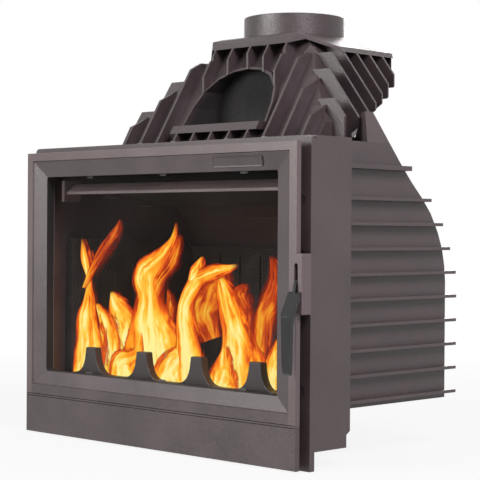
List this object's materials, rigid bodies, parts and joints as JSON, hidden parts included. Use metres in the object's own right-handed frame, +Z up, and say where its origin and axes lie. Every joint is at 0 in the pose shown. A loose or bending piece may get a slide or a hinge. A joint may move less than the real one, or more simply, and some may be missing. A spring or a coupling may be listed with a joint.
{
  "type": "fireplace insert",
  "caption": "Cast-iron fireplace insert with a glazed swinging door, a hanging latch grip, horizontal body fins, a finned hipped hood and a round flue collar.",
  "frame": {"origin": "underside of the ash box, on the floor, midway between the door edges and near the middle of the depth", "axes": "+X to the right seen from the front, +Y to the back, +Z up; the door faces -Y"},
  "size_m": [0.7195, 0.5055, 0.798],
  "materials": {
    "casting": "painted dark grey, fine sand-cast grain",
    "fire_iron": "bare casting, soot-darkened",
    "steel": "dark oiled steel",
    "grip_black": "gloss black enamel",
    "glass": "ceramic glass",
    "rope": "braided glass-fibre rope and tape"
  },
  "bodies": {
    "insert": {"front_frame": "casting", "side_panel_left": "casting", "side_panel_right": "casting", "back_panel": "casting", "base_plate": "casting", "upper_body": "casting", "hood": "casting", "flue_collar": "casting", "hinge_lugs": "casting", "ash_box": "casting", "hearth_plate": "fire_iron", "liner_back": "fire_iron", "liner_left": "fire_iron", "liner_right": "fire_iron", "fire_grate": "fire_iron", "log_retainer": "fire_iron", "baffle_plate": "fire_iron", "frame_bolts": "steel", "frame_nuts": "steel", "latch_keeper": "steel", "air_wash_bar": "steel", "bar_brackets": "steel", "ash_pan": "steel", "hood_bolts": "steel"},
    "door": {"door_frame": "casting", "door_glass": "glass", "glass_gasket": "rope", "glass_clips": "steel", "clip_screws": "steel", "door_rope": "rope", "hinge_pins": "steel", "lever_pin": "steel"},
    "handle": {"latch_lever": "steel", "handle_grip": "grip_black", "grip_screw": "steel"}
  },
  "joints": [
    {"name": "door_swing", "type": "hinge", "parent": "insert", "child": "door", "pos_m": [-0.3465, -0.19715, 0.3], "axis": [0, 0, -1], "range_deg": [0, 95]},
    {"name": "handle_lift", "type": "hinge", "parent": "door", "child": "handle", "pos_m": [0.349, -0.2065, 0.3], "axis": [-1, 0, 0], "range_deg": [-4, 40]}
  ]
}
